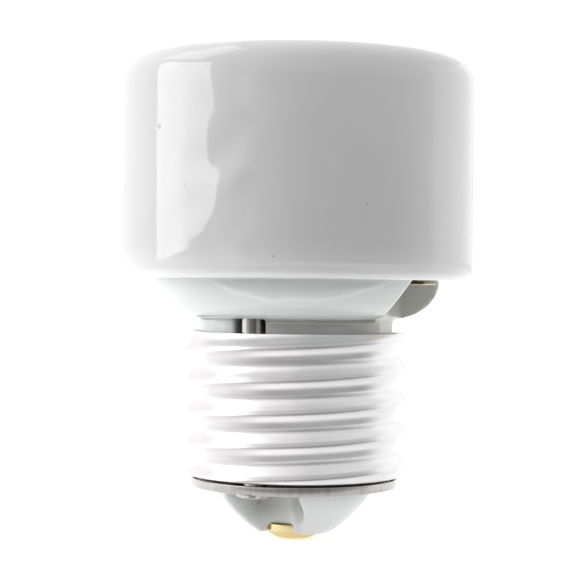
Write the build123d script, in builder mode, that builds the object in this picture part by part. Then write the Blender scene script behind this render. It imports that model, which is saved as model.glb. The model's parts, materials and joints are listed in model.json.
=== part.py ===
"""Porcelain screw-in lamp socket: a medium screw base below, a socket for the same lamp base above.

Millimetres, +Z up towards the mouth of the socket. The origin is on the axis, level with the top edge
of the screw shell. The front of the object faces -Y, and bearings are turned from +X.
"""
from build123d import *
import math
import os

# screw thread of the medium lamp base, seven turns to the inch
PITCH = 25.4 / 7
CREST_R = 13.0
ROOT_R = 11.85
CREST_LAND = 0.9
ROOT_LAND = 0.9
CREST_LEVEL = -0.58
SHELL_LENGTH = 16.85
SHELL_WALL = 0.4
FLATS_PER_TURN = 24

# porcelain body, from the rim down to the tip
HEAD_R = 20.5
RIM_Z = 31.5
RIM_ROUND = 2.8
MOUTH_ROUND = 0.9
HEAD_Z = 6.1
HEAD_ROUND = 0.8
CAVITY_R = 14.2
FLOOR_Z = 8.5
WELL_R = 7.0
WELL_Z = 5.0
SHOULDER_TOP_R = 16.7
SHOULDER = ((13.1, 1.85), (15.65, 3.7))
NECK_R = 11.35
NECK_TOP_Z = 1.55
CONE_TOP_R = 9.2
CONE_TOP_Z = -18.7
TIP_R = 5.2
TIP_Z = -23.2
TIP_ROUND = 0.9
SEAT_R = 3.45
SEAT_Z = -22.2
AXIS_HOLE_R = 1.6

# retaining ring and the two long rivets
RING_R = 12.1
RING_THICK = 1.0
COLLAR_GAP = 0.2
EAR_LENGTH = 4.0
EAR_WIDTH = 5.0
RIVET_BEARING = 241.0
RIVET_CIRCLE_R = 9.9
RIVET_R = 1.25
RIVET_PLAY = 0.1
CHANNEL_HALF = 1.6
RIVET_HEAD_R = 2.2
RIVET_HEAD = 0.55
RIVET_END_R = 1.95
RIVET_END = 0.4
SCOOP_HALF = 4.5
SCOOP_REACH_R = 2.8

# pocket in the shoulder and the bent tab of the socket shell
POCKET_BEARING = -21.0
POCKET_WIDTH = 10.0
POCKET_BACK = 11.1
POCKET_FOOT_Z = -1.5
TAB_WIDTH = 6.0
TAB_THICK = 0.45
TAB_OUT = 16.3
TAB_DROP = 0.05
TAB_PLAY = 0.2
TAB_INSET = 0.15
TAB_BEND = 0.4

# socket shell
SOCKET_BORE_R = 13.4
SOCKET_WALL = 0.4
SOCKET_TOP_Z = 26.5
SOCKET_COLLAR = 4.0
SOCKET_STEP = 0.3
SOCKET_ROOT_R = 13.25
SOCKET_CREST_R = 12.45
SOCKET_FLANGE = 0.5
SOCKET_FLANGE_R = 7.6

# contacts
BUTTON_R = 3.3
BUTTON_Z = -23.35
PIP_R = 2.7
PIP_Z = -24.1
PIP_CROWN = 0.62
SHANK_R = 1.45
CLINCH_R = 2.3
CLINCH = 0.65
LEAF_WIDTH = 5.4
LEAF_THICK = 0.4
LEAF_BACK = -3.3
BEND_X = 3.5
BEND_R = 0.9
BEND_SPLIT = -35.0
BEND_GAP = 9.0
TONGUE_RISE = 14.0
TONGUE_LENGTH = 6.4
NOSE_R = 1.3
NOSE_TURN = 75.0
LEAF_CORNER = 1.2

shell_bottom = -SHELL_LENGTH
core_bottom = shell_bottom
ring_bottom = shell_bottom - RING_THICK
collar_r = CONE_TOP_R + COLLAR_GAP
bore_r = ROOT_R - SHELL_WALL
flange_top = FLOOR_Z + SOCKET_FLANGE
socket_r = SOCKET_BORE_R + SOCKET_WALL
collar_z = SOCKET_TOP_Z - SOCKET_COLLAR
thread_top = collar_z - SOCKET_STEP
rivet_hole = 2 * (RIVET_R + RIVET_PLAY)
shank_hole = 2 * (SHANK_R + RIVET_PLAY)
tab_in = SOCKET_BORE_R - TAB_INSET
tab_top = HEAD_Z - TAB_DROP
tab_bottom = tab_top - TAB_THICK
leaf_top = WELL_Z + LEAF_THICK
bend_z = leaf_top + BEND_R


def corner(sketch, r, z):
    """The sketch corner nearest to radius r and height z."""
    return sketch.vertices().sort_by_distance((r, z))[0]


def rounded(r, z, radius, start, flats):
    """Corner points of a quarter round about (r, z), in flats that a revolve turns into cones."""
    angles = [math.radians(start + 90 * i / flats) for i in range(flats + 1)]
    return [(r + radius * math.cos(a), z + radius * math.sin(a)) for a in angles]


def thread_profile(crest, root, level):
    """One pitch of the thread in section, from root land to root land, about a crest at the level."""
    half = PITCH / 2
    return [(root, level - half - ROOT_LAND / 2), (root, level - half + ROOT_LAND / 2),
            (crest, level - CREST_LAND / 2), (crest, level + CREST_LAND / 2),
            (root, level + half - ROOT_LAND / 2)]


def helix_point(r, z, step):
    """A point of the section carried a number of flats round the right-hand helix."""
    turn = step / FLATS_PER_TURN
    angle = 2 * math.pi * turn
    return Vector(r * math.cos(angle), r * math.sin(angle), z + turn * PITCH)


def threaded_blank(profile, bore, turns):
    """Thick tube with a helical thread outside, in flats, with a ramp at each end."""
    steps = turns * FLATS_PER_TURN
    first = (bore, profile[0][1])
    last = (bore, profile[-1][1])
    cells = []
    for step in range(steps):
        strips = list(zip(profile, profile[1:])) + [(last, first)]
        if step < FLATS_PER_TURN:
            strips.append((first, profile[0]))
        if step >= steps - FLATS_PER_TURN:
            strips.append((profile[-1], last))
        for a, b in strips:
            near_a, near_b = helix_point(*a, step), helix_point(*b, step)
            far_a, far_b = helix_point(*a, step + 1), helix_point(*b, step + 1)
            cells.append((near_a, far_b, near_b))
            cells.append((near_a, far_a, far_b))
    for step in (0, steps):
        cells.append([helix_point(*point, step) for point in profile + [last, first]])
    return Solid(Shell([Face(Wire.make_polygon(cell, close=True)) for cell in cells]))


# porcelain body: one pressed and glazed piece
with BuildPart() as porcelain_body:
    with BuildSketch(Plane.XZ):
        with BuildLine():
            Polyline(rounded(HEAD_R - HEAD_ROUND, HEAD_Z + HEAD_ROUND, HEAD_ROUND, -90, 1),
                     rounded(HEAD_R - RIM_ROUND, RIM_Z - RIM_ROUND, RIM_ROUND, 0, 3),
                     rounded(CAVITY_R + MOUTH_ROUND, RIM_Z - MOUTH_ROUND, MOUTH_ROUND, 90, 1),
                     (CAVITY_R, FLOOR_Z), (WELL_R, FLOOR_Z), (WELL_R, WELL_Z), (AXIS_HOLE_R, WELL_Z),
                     (AXIS_HOLE_R, SEAT_Z), (SEAT_R, SEAT_Z), (SEAT_R, TIP_Z), (TIP_R - TIP_ROUND, TIP_Z),
                     (TIP_R, TIP_Z + TIP_ROUND / 2), (CONE_TOP_R, CONE_TOP_Z), (CONE_TOP_R, core_bottom),
                     (NECK_R, core_bottom), (NECK_R, NECK_TOP_Z), *SHOULDER, (SHOULDER_TOP_R, HEAD_Z),
                     close=True)
        make_face()
    revolve(axis=Axis.Z)
    # rivet holes through the floor
    with BuildSketch(Plane.XY.offset(core_bottom)):
        with PolarLocations(RIVET_CIRCLE_R, 2, start_angle=RIVET_BEARING):
            Rectangle(2 * CHANNEL_HALF, 2 * CHANNEL_HALF)
    extrude(amount=FLOOR_Z - core_bottom, mode=Mode.SUBTRACT)
    # the same channels open to the side below the shoulder
    with BuildSketch(Plane.XY.offset(core_bottom)):
        with PolarLocations(NECK_R, 2, start_angle=RIVET_BEARING):
            Rectangle(2 * (NECK_R - RIVET_CIRCLE_R), 2 * CHANNEL_HALF)
    extrude(amount=NECK_TOP_Z - core_bottom, mode=Mode.SUBTRACT)
    # scoops that clear the rivet heads and run down to the tip
    with BuildSketch(Plane.XY.offset(TIP_Z)):
        with PolarLocations(SCOOP_REACH_R + SCOOP_HALF, 2, start_angle=RIVET_BEARING):
            Circle(SCOOP_HALF)
        with PolarLocations(SCOOP_REACH_R + 2 * SCOOP_HALF, 2, start_angle=RIVET_BEARING):
            Rectangle(2 * SCOOP_HALF, 2 * SCOOP_HALF)
    extrude(amount=core_bottom - TIP_Z, mode=Mode.SUBTRACT)
    # pocket in the shoulder where the tab is bent over
    with BuildSketch(Plane.XY.offset(HEAD_Z)):
        with PolarLocations((POCKET_BACK + HEAD_R) / 2, 1, start_angle=POCKET_BEARING):
            Rectangle(HEAD_R - POCKET_BACK, POCKET_WIDTH)
    extrude(amount=POCKET_FOOT_Z - HEAD_Z, mode=Mode.SUBTRACT)
    # slot through the floor for the tab
    with BuildSketch(Plane.XY.offset(HEAD_Z)):
        with PolarLocations(tab_in + TAB_THICK / 2, 1, start_angle=POCKET_BEARING):
            Rectangle(TAB_THICK + 2 * TAB_PLAY, TAB_WIDTH + 2 * TAB_PLAY)
    extrude(amount=FLOOR_Z - HEAD_Z, mode=Mode.SUBTRACT)

# screw shell: sleeve with the helical thread, closed on the core and standing on the ring
with BuildPart() as screw_shell:
    start = CREST_LEVEL - math.ceil(SHELL_LENGTH / PITCH) * PITCH
    turns = math.ceil((PITCH / 2 + ROOT_LAND - start) / PITCH)
    add(threaded_blank(thread_profile(CREST_R, ROOT_R, start), SCOOP_REACH_R, turns))
    split(bisect_by=Plane.XY, keep=Keep.BOTTOM)
    split(bisect_by=Plane.XY.offset(shell_bottom), keep=Keep.TOP)
    with BuildSketch(Plane.XY.offset(shell_bottom)):
        Circle(bore_r)
    extrude(amount=SHELL_LENGTH, mode=Mode.SUBTRACT)

# retaining ring with two ears for the rivets
with BuildPart() as base_ring:
    with BuildSketch(Plane.XY.offset(ring_bottom)):
        Circle(RING_R)
        Circle(collar_r, mode=Mode.SUBTRACT)
        with PolarLocations(RIVET_CIRCLE_R, 2, start_angle=RIVET_BEARING):
            Rectangle(EAR_LENGTH, EAR_WIDTH)
            Rectangle(rivet_hole, rivet_hole, mode=Mode.SUBTRACT)
    extrude(amount=RING_THICK)

# two long rivets from the ring up to the floor of the socket
with BuildPart() as shell_rivets:
    for bearing in (RIVET_BEARING, RIVET_BEARING + 180):
        centre = Vector(RIVET_CIRCLE_R, 0, 0).rotate(Axis.Z, bearing)
        with BuildSketch(Plane(origin=centre, x_dir=(1, 0, 0), z_dir=(0, -1, 0))):
            with BuildLine():
                Polyline((0, ring_bottom - RIVET_HEAD), (RIVET_HEAD_R, ring_bottom - RIVET_HEAD),
                         (RIVET_HEAD_R, ring_bottom), (RIVET_R, ring_bottom), (RIVET_R, flange_top),
                         (RIVET_END_R, flange_top), (RIVET_END_R, flange_top + RIVET_END),
                         (0, flange_top + RIVET_END), close=True)
            make_face()
        revolve(axis=Axis(centre, (0, 0, 1)))

# room for the screw of a lamp: the void inside the thread of the socket shell
with BuildPart() as lamp_screw:
    start = flange_top - PITCH / 2
    turns = math.ceil((thread_top - start + PITCH / 2) / PITCH)
    add(threaded_blank(thread_profile(SOCKET_ROOT_R, SOCKET_CREST_R, start), WELL_R, turns))
    split(bisect_by=Plane.XY.offset(thread_top), keep=Keep.BOTTOM)
    split(bisect_by=Plane.XY.offset(flange_top), keep=Keep.TOP)

# socket shell: threaded sleeve with a plain collar, a flange on the floor and a tab bent out under it
with BuildPart() as socket_shell:
    with BuildSketch(Plane.XZ):
        with BuildLine():
            Polyline((SOCKET_FLANGE_R, FLOOR_Z), (socket_r, FLOOR_Z), (socket_r, SOCKET_TOP_Z),
                     (SOCKET_BORE_R, SOCKET_TOP_Z), (SOCKET_BORE_R, collar_z),
                     (SOCKET_CREST_R - SOCKET_WALL, collar_z), (SOCKET_CREST_R - SOCKET_WALL, flange_top),
                     (SOCKET_FLANGE_R, flange_top), close=True)
        make_face()
    revolve(axis=Axis.Z)
    with BuildSketch(Plane.XY.offset(collar_z)):
        RegularPolygon((SOCKET_BORE_R + SOCKET_ROOT_R) / 2, FLATS_PER_TURN)
    extrude(amount=-SOCKET_STEP, mode=Mode.SUBTRACT)
    add(lamp_screw.part, mode=Mode.SUBTRACT)
    with BuildSketch(Plane.XY.offset(FLOOR_Z)):
        with PolarLocations(RIVET_CIRCLE_R, 2, start_angle=RIVET_BEARING):
            Rectangle(rivet_hole, rivet_hole)
    extrude(amount=SOCKET_FLANGE, mode=Mode.SUBTRACT)
    out = Vector(1, 0, 0).rotate(Axis.Z, POCKET_BEARING)
    with BuildSketch(Plane(origin=(0, 0, 0), x_dir=out, z_dir=out.cross(Vector(0, 0, 1)))) as tab:
        with BuildLine():
            Polyline((tab_in, flange_top), (tab_in, tab_bottom), (TAB_OUT, tab_bottom), (TAB_OUT, tab_top),
                     (tab_in + TAB_THICK, tab_top), (tab_in + TAB_THICK, flange_top), close=True)
        make_face()
        chamfer(corner(tab, tab_in, tab_bottom), TAB_BEND)
    extrude(amount=TAB_WIDTH / 2, both=True)

# stepped contact of the screw base: a disc in the tip, held by the head of the centre rivet
with BuildPart() as base_contact:
    with BuildSketch(Plane.XY.offset(BUTTON_Z)):
        Circle(BUTTON_R)
        Rectangle(shank_hole, shank_hole, mode=Mode.SUBTRACT)
    extrude(amount=SEAT_Z - BUTTON_Z)

with BuildPart() as centre_rivet:
    with BuildSketch(Plane.XZ):
        with BuildLine():
            Polyline((0, PIP_Z), (PIP_R * PIP_CROWN, PIP_Z), (PIP_R, BUTTON_Z), (SHANK_R, BUTTON_Z),
                     (SHANK_R, leaf_top), (CLINCH_R, leaf_top), (CLINCH_R, leaf_top + CLINCH),
                     (0, leaf_top + CLINCH), close=True)
        make_face()
    revolve(axis=Axis.Z)

# centre contact of the socket: a strip folded over on itself, so that its upper leg springs
with BuildPart() as contact_foot:
    with BuildSketch(Plane.XZ):
        with BuildLine():
            Line((LEAF_BACK, WELL_Z + LEAF_THICK / 2), (BEND_X, WELL_Z + LEAF_THICK / 2))
            CenterArc((BEND_X, bend_z), BEND_R + LEAF_THICK / 2, -90, BEND_SPLIT + 90)
        trace(line_width=LEAF_THICK)
    extrude(amount=LEAF_WIDTH / 2, both=True)
    with BuildSketch(Plane.XY.offset(WELL_Z)):
        Rectangle(shank_hole, shank_hole)
    extrude(amount=LEAF_THICK, mode=Mode.SUBTRACT)
    chamfer(contact_foot.edges().filter_by(Axis.Z).group_by(Axis.X)[0], LEAF_CORNER)

with BuildPart() as contact_tongue:
    with BuildSketch(Plane.XZ):
        with BuildLine():
            bend = CenterArc((BEND_X, bend_z), BEND_R + LEAF_THICK / 2, BEND_SPLIT + BEND_GAP,
                             90 - TONGUE_RISE - BEND_SPLIT - BEND_GAP)
            blade = PolarLine(bend @ 1, TONGUE_LENGTH, direction=bend % 1)
            JernArc(blade @ 1, blade % 1, NOSE_R, NOSE_TURN)
        trace(line_width=LEAF_THICK)
    extrude(amount=LEAF_WIDTH / 2, both=True)

os.makedirs("parts", exist_ok=True)
porcelain_body.part.label = "porcelain_body"
export_step(porcelain_body.part, "parts/porcelain_body.step")
screw_shell.part.label = "screw_shell"
export_step(screw_shell.part, "parts/screw_shell.step")
base_ring.part.label = "base_ring"
export_step(base_ring.part, "parts/base_ring.step")
shell_rivets.part.label = "shell_rivets"
export_step(shell_rivets.part, "parts/shell_rivets.step")
socket_shell.part.label = "socket_shell"
export_step(socket_shell.part, "parts/socket_shell.step")
base_contact.part.label = "base_contact"
export_step(base_contact.part, "parts/base_contact.step")
centre_rivet.part.label = "centre_rivet"
export_step(centre_rivet.part, "parts/centre_rivet.step")
contact_foot.part.label = "contact_foot"
export_step(contact_foot.part, "parts/contact_foot.step")
contact_tongue.part.label = "contact_tongue"
export_step(contact_tongue.part, "parts/contact_tongue.step")
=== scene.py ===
"""Looks of a porcelain screw-in lamp socket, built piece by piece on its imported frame."""
import json
import math

import bpy
from bpy.props import FloatProperty, FloatVectorProperty, IntProperty, PointerProperty
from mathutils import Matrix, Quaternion, Vector


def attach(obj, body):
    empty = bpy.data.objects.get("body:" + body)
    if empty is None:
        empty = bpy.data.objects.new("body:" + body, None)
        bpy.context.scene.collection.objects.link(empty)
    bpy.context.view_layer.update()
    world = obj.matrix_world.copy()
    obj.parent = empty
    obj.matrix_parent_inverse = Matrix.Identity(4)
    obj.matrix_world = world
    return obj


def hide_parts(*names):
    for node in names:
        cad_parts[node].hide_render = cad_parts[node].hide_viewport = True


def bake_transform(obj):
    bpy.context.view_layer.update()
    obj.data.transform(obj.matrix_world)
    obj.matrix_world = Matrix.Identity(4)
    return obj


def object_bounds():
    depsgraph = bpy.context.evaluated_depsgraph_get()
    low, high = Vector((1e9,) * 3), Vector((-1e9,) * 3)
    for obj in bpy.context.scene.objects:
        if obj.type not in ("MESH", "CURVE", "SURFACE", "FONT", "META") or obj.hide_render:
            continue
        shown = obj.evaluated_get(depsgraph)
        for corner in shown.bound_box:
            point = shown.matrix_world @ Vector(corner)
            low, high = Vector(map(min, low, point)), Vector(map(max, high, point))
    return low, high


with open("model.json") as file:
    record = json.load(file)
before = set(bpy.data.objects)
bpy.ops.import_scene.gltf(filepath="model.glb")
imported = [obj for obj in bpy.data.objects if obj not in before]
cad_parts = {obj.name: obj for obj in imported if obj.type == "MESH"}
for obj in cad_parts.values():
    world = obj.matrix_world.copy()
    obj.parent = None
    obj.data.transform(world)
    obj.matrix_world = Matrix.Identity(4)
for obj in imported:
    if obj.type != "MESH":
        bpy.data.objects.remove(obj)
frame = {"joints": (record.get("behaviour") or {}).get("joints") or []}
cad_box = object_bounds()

bl_info = {
    "name": "Porcelain Lamp Socket",
    "version": (1, 0, 0),
    "blender": (4, 5, 0),
    "location": "View3D > Sidebar > Lamp Socket",
    "description": "Builds a glazed porcelain screw-in lamp socket with its screw base and contacts",
    "category": "Add Mesh",
}

MM = 0.001
UP = Vector((0, 0, 1))
# what is this near to a level or an end, in metres, is on it
NEAR = 1e-6
# the two rivets, channels and scoops stand opposite each other
SIDES = (0, math.pi)

# tones painted on the glaze and on the ring, after the light and shade in the photograph: painted shade and a
# painted highlight on the shoulder, painted shade in the scoop, on the neck and in the pocket, and stains on
# the ring
BROW_SHADE = (0.44, 0.47, 0.455)
BOW_HIGHLIGHT = (0.9, 0.925, 0.925)
CLOUD_DIM = 0.85
SCOOP_SHADE = (0.24, 0.245, 0.23)
NECK_SHADE = (0.16, 0.155, 0.145)
POCKET_SHADE = (0.40, 0.405, 0.33)
RING_STAIN = (0.36, 0.30, 0.25)
# marks in the front of the glaze: across, up and radius in millimetres
GLAZE_MARKS = ((-15.2, 22.5, 0.4), (-2.5, 8.4, 0.22), (7.3, 14.0, 0.2), (-4.05, -19.7, 0.3))
# painted light and reflection across the rolled sheet, after the light in the photograph: where each band
# sets in and is full, in millimetres along X
SHELL_PAINTED_LIGHT = ((3, -1.5, (0.90, 0.87, 0.88)), (-3, -7, (0.68, 0.655, 0.66)),
               (-9, -11.5, (0.785, 0.75, 0.76)), (6, 11, (0.70, 0.70, 0.70)))

# sizes of the porcelain that stay as they are
BORE_RADIUS = 1.6 * MM
SEAT_RADIUS = 3.45 * MM
POCKET_FOOT = -1.5 * MM
# how far the cone draws in and comes down between its top and its tip, in millimetres
CONE_BULGE = ((0.75, 1.0), (1.9, 2.17))
# section of the slanting wall of the pocket, in millimetres along X and Z, and its ends along Y
SLANT = ((13.05, 6.37), (9.7, 2.0), (9.3, 1.2), (24, 1.2), (24, 6.37))
SLANT_ENDS = (-14.4 * MM, -7 * MM)
# the core is remeshed in millimetres
VOXEL = 0.25

# threads: points in a section, how far the crests of the shell are narrowed, and steps round
SHELL_SAMPLES = 64
SHELL_BITE = 1.25
SHELL_STEPS = 144
SOCKET_SAMPLES = 48
SOCKET_STEPS = 112
FORM_STEPS = 192
# lower edge of the shell, step by step: share made round, scale inwards, and fall in millimetres
CURL = ((0.5, 1.0, 0.1), (1.0, 0.99, 0.1), (1.0, 0.95, 0.06))

# lamps: place and aim in millimetres, width and height in millimetres, and power in watts
LAMPS = (("left_box", (-390, -88, 112), (0, 0, 20), (335, 200), 0.43),
         ("left_top_box", (-300, 0, 400), (0, 0, 10), (300, 300), 0.32),
         ("right_box", (310, 262, 112), (0, 120, 20), (524, 200), 0.11))


def length(name, size, description):
    """A size that a user may change, given here in millimetres."""
    return FloatProperty(name=name, description=description, default=size * MM, unit="LENGTH", precision=5)


def colour(name, shade, description):
    """A colour that a user may change."""
    return FloatVectorProperty(name=name, description=description, default=shade, size=3, min=0, max=1,
                               subtype="COLOR")


def degrees(name, size, description):
    """An angle that a user may change, given here in degrees."""
    return FloatProperty(name=name, description=description, default=math.radians(size), subtype="ANGLE",
                         unit="ROTATION")


# sizes and colours

class PorcelainSizes(bpy.types.PropertyGroup):
    """The pressed and glazed body."""
    head_radius: length("Head radius", 20.5, "Outer radius of the head")
    rim_height: length("Rim height", 31.5, "Height of the rim over the top edge of the screw shell")
    rim_round: length("Rim round", 2.8, "Round on the outer edge of the rim")
    mouth_round: length("Mouth round", 0.9, "Round on the inner edge of the rim")
    foot_height: length("Foot height", 6.1, "Height of the underside of the head")
    foot_round: length("Foot round", 0.8, "Round on the lower edge of the head")
    cavity_radius: length("Cavity radius", 14.2, "Radius of the hollow for the socket shell")
    floor_height: length("Floor height", 8.5, "Height of the floor of the hollow")
    well_radius: length("Well radius", 7.0, "Radius of the well for the centre contact")
    well_floor: length("Well floor", 5.0, "Height of the floor of the well")
    shoulder_radius: length("Shoulder radius", 16.7, "Radius of the shoulder where it meets the head")
    neck_radius: length("Neck radius", 11.35, "Radius of the neck and of the core inside the screw shell")
    neck_top: length("Neck top", 1.55, "Height where the neck runs out into the shoulder")
    tip_radius: length("Tip radius", 5.2, "Radius of the cone at its tip")
    tip_height: length("Tip height", -23.2, "Height of the tip of the cone")
    cone_radius: length("Cone radius", 9.2, "Radius of the cone under the ring")
    cone_top: length("Cone top", -18.7, "Height where the cone starts under the ring")
    rivet_bearing: degrees("Rivet bearing", 241, "Bearing of the rivet in front, turned from +X")
    channel_bearing: degrees("Channel bearing", 242.4, "Bearing of the channel for that rivet")
    scoop_bearing: degrees("Scoop bearing", 241, "Bearing of the scoop under that rivet")
    rivet_circle: length("Rivet circle", 9.9, "Radius of the circle that the rivets stand on")
    channel_width: length("Channel width", 3.8, "Width of the channels for the rivets")
    scoop_radius: length("Scoop radius", 4.5, "Radius of the scoops that clear the rivet heads")
    scoop_reach: length("Scoop reach", 2.8, "Nearest that the scoops come to the axis")
    pocket_bearing: degrees("Pocket bearing", -21, "Bearing of the pocket in the shoulder")
    pocket_width: length("Pocket width", 10.0, "Width of the pocket in the shoulder")
    pocket_back: length("Pocket back", 11.1, "Distance of the back of the pocket from the axis")
    glaze_waves: length("Glaze waves", 0.36, "Depth of the waves in the glaze")
    # one glaze in four whites, painted lit and shaded: darker on the head, lighter on the shoulder and the
    # cone, lightest on the lower edge of the head
    glaze: colour("Glaze", (0.61, 0.60, 0.607), "White of the head under its glaze")
    shoulder_lit_white: colour("Pooled glaze", (0.755, 0.78, 0.77), "White of the shoulder")
    cone_lit_white: colour("Thin glaze", (0.655, 0.67, 0.665), "White of the cone")
    edge_lit_white: colour("Edge glaze", (0.89, 0.90, 0.895), "White of the lower edge of the head")
    speck: colour("Speck", (0.20, 0.13, 0.06), "Iron specks and pinholes in the glaze")
    spin_steps: IntProperty(name="Spin steps", description="Steps round the body and the ring", default=144,
                            min=24)


class ShellSizes(bpy.types.PropertyGroup):
    """The rolled screw shell, the ring under it and the rivets."""
    pitch: length("Pitch", 25.4 / 7, "Pitch of the right-hand thread")
    crest_radius: length("Crest radius", 12.9, "Radius over the crests")
    root_radius: length("Root radius", 12.15, "Radius over the roots")
    crest_level: length("Crest level", -0.58, "Height of the upper crest where it passes +X")
    shell_length: length("Shell length", 16.85, "Length from the top edge to the ring")
    wall: length("Wall", 0.4, "Thickness of the sheet")
    groove: length("Groove", 0.5, "Height of the groove between the shell and the ring")
    ring_radius: length("Ring radius", 12.1, "Outer radius of the ring")
    ring_bore: length("Ring bore", 9.4, "Inner radius of the ring")
    ring_thick: length("Ring thickness", 1.0, "Thickness of the ring")
    shell_metal: colour("Shell metal", (0.77, 0.765, 0.775), "Bright sheet of the shell")
    ring_metal: colour("Ring metal", (0.62, 0.595, 0.58), "Dull plated metal of the ring")
    rivet_metal: colour("Rivet metal", (0.60, 0.58, 0.55), "Bright plated metal of the rivets")


class ContactSizes(bpy.types.PropertyGroup):
    """The socket shell and the contacts."""
    collar_radius: length("Collar radius", 13.4, "Inner radius of the plain collar of the socket shell")
    collar_foot: length("Collar foot", 22.5, "Height where the collar runs over into the thread")
    socket_radius: length("Socket radius", 13.25, "Inner radius of the socket shell over its roots")
    socket_crest: length("Socket crest", 12.45, "Inner radius of the socket shell over its crests")
    socket_top: length("Socket top", 26.5, "Height of the upper edge of the socket shell")
    flange_radius: length("Flange radius", 7.6, "Inner radius of the flange on the floor")
    flange_thick: length("Flange thickness", 0.5, "Thickness of the flange on the floor")
    tab_width: length("Tab width", 6.0, "Width of the tab bent out in the pocket")
    tab_reach: length("Tab reach", 16.3, "Distance of the end of the tab from the axis")
    button_radius: length("Button radius", 3.3, "Radius of the disc in the tip")
    pip_radius: length("Pip radius", 2.7, "Radius of the domed rivet head over the disc")
    pip_height: length("Pip height", -24.1, "Height of the end of the rivet head")
    strip_width: length("Strip width", 5.4, "Width of the folded contact strip")
    strip_thick: length("Strip thickness", 0.4, "Thickness of the folded contact strip")
    brass: colour("Brass", (0.80, 0.67, 0.37), "Clean brass")
    tarnish: colour("Tarnish", (0.30, 0.19, 0.08), "Brass gone brown")


class StageSizes(bpy.types.PropertyGroup):
    """Floor and camera."""
    camera_distance: length("Camera distance", 195, "Distance of the camera from the axis")
    camera_height: length("Camera height", 5.1, "Height of the camera")
    camera_side: length("Camera side", -0.94, "Shift of the camera to the side")
    camera_roll: degrees("Camera roll", -0.6, "Roll of the camera")
    lens: FloatProperty(name="Lens", description="Focal length in millimetres", default=104.2, min=10)
    floor_colour: colour("Floor", (0.86, 0.86, 0.86), "Pale floor")


# shader building

class Signal:
    """A shader value that takes part in Python arithmetic: each step adds a Math node."""

    def __init__(self, finish, socket):
        self.finish = finish
        self.socket = socket

    def step(self, operation, *values):
        """One Math node on values, signals among them."""
        return self.finish.node("ShaderNodeMath", 0, {"operation": operation}, dict(enumerate(values)))

    def __add__(self, other):
        return self.step("ADD", self, other)

    def __sub__(self, other):
        return self.step("SUBTRACT", self, other)

    def __rsub__(self, other):
        return self.step("SUBTRACT", other, self)

    def __mul__(self, other):
        return self.step("MULTIPLY", self, other)

    def __truediv__(self, other):
        return self.step("DIVIDE", self, other)

    def __rtruediv__(self, other):
        return self.step("DIVIDE", other, self)

    def __pow__(self, other):
        return self.step("POWER", self, other)

    def __abs__(self):
        return self.step("ABSOLUTE", self)

    def __lt__(self, other):
        return self.step("LESS_THAN", self, other)

    def __gt__(self, other):
        return self.step("GREATER_THAN", self, other)

    __radd__ = __add__
    __rmul__ = __mul__

    def held(self):
        """The value kept between 0 and 1."""
        return self.finish.node("ShaderNodeClamp", 0, {}, {0: self})


class Finish:
    """A procedural material or surround under construction."""

    def __init__(self, holder, shader, uniform):
        holder.use_nodes = True
        self.holder = holder
        self.tree = holder.node_tree
        self.shader = self.tree.nodes[shader]
        self.feed(self.shader, uniform)

    def feed(self, node, values):
        """Links or sets the sockets of a node. A colour gets its fourth number here."""
        for key, value in values.items():
            socket = node.inputs[key]
            if isinstance(value, Signal):
                self.tree.links.new(value.socket, socket)
            elif socket.type == "RGBA":
                socket.default_value = (*value, 1)
            else:
                socket.default_value = value

    def node(self, kind, output, settings, values):
        """Adds a node, sets it, feeds its sockets and gives one of its outputs."""
        node = self.tree.nodes.new(kind)
        for key, value in settings.items():
            setattr(node, key, value)
        self.feed(node, values)
        return Signal(self, node.outputs[output])

    def place(self):
        """Object coordinates, in metres."""
        return self.node("ShaderNodeTexCoord", "Object", {}, {})

    def part(self, vector, letter):
        """One coordinate of a vector."""
        return self.node("ShaderNodeSeparateXYZ", letter, {}, {0: vector})

    def stretched(self, vector, scale):
        """A vector scaled along each axis."""
        return self.node("ShaderNodeVectorMath", 0, {"operation": "MULTIPLY"}, {0: vector, 1: scale})

    def noise(self, vector, scale, detail=2.0, rough=0.5):
        """Soft noise from 0 to 1."""
        return self.node("ShaderNodeTexNoise", 0, {}, {"Vector": vector, "Scale": scale, "Detail": detail,
                                                       "Roughness": rough})

    def mixed(self, share, first, second):
        """One colour going over into another."""
        return self.node("ShaderNodeMix", 2, {"data_type": "RGBA"}, {0: share, 6: first, 7: second})

    def bumped(self, height, depth):
        """A normal bumped by a height from 0 to 1 over a depth in metres."""
        return self.node("ShaderNodeBump", 0, {}, {"Height": height, "Distance": depth})

    def eased(self, value, none, full):
        """0 up to one value, 1 from another on, and a soft step between. Either may be the larger."""
        return self.node("ShaderNodeMapRange", 0, {"interpolation_type": "SMOOTHSTEP"}, {
            "Value": value, "From Min": none, "From Max": full})

    def done(self, varying):
        """Feeds what varies to the shader and gives the material."""
        self.feed(self.shader, varying)
        return self.holder


def surface(name, uniform):
    """A new material to be finished."""
    return Finish(bpy.data.materials.new(name), "Principled BSDF", uniform)


def dimmed(shade, share):
    """A colour made darker."""
    return tuple(share * part for part in shade)


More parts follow.
